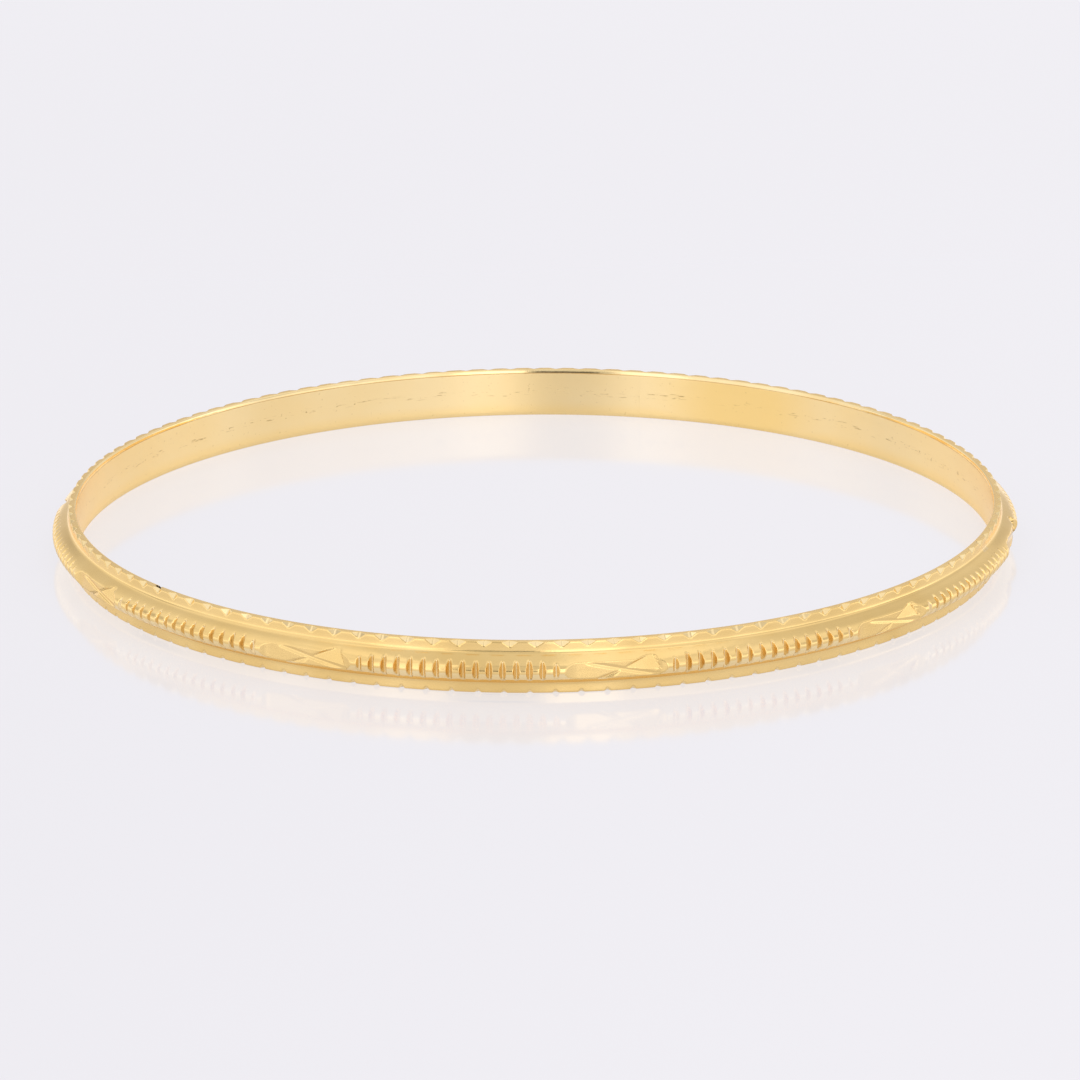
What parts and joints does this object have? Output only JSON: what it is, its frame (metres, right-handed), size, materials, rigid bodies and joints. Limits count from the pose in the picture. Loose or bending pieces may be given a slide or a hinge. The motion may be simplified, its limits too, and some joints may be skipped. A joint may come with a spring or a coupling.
{
  "type": "bangle bracelet",
  "caption": "Closed slip-on gold bangle: band with a grooved, engraved bead over a narrow hollow, notched edges and a satin lining.",
  "frame": {"origin": "centre of the ring at its lower edge, on the surface it lies on", "axes": "+Z along the ring's axis, the way a wrist passes through; the view looks along +Y with +X to the right"},
  "size_m": [0.0668, 0.0668, 0.0035],
  "materials": {
    "polished_gold": "polished yellow gold, diamond cut",
    "satin_gold": "satin yellow gold, brushed round the ring",
    "gold_solder": "polished gold solder"
  },
  "bodies": {
    "root": {"outer_shell": "polished_gold", "inner_lining": "satin_gold", "upper_lining_solder": "gold_solder", "lower_lining_solder": "gold_solder", "shell_joint_solder": "gold_solder", "lining_joint_solder": "gold_solder", "joint_peg": "gold_solder"}
  },
  "joints": []
}
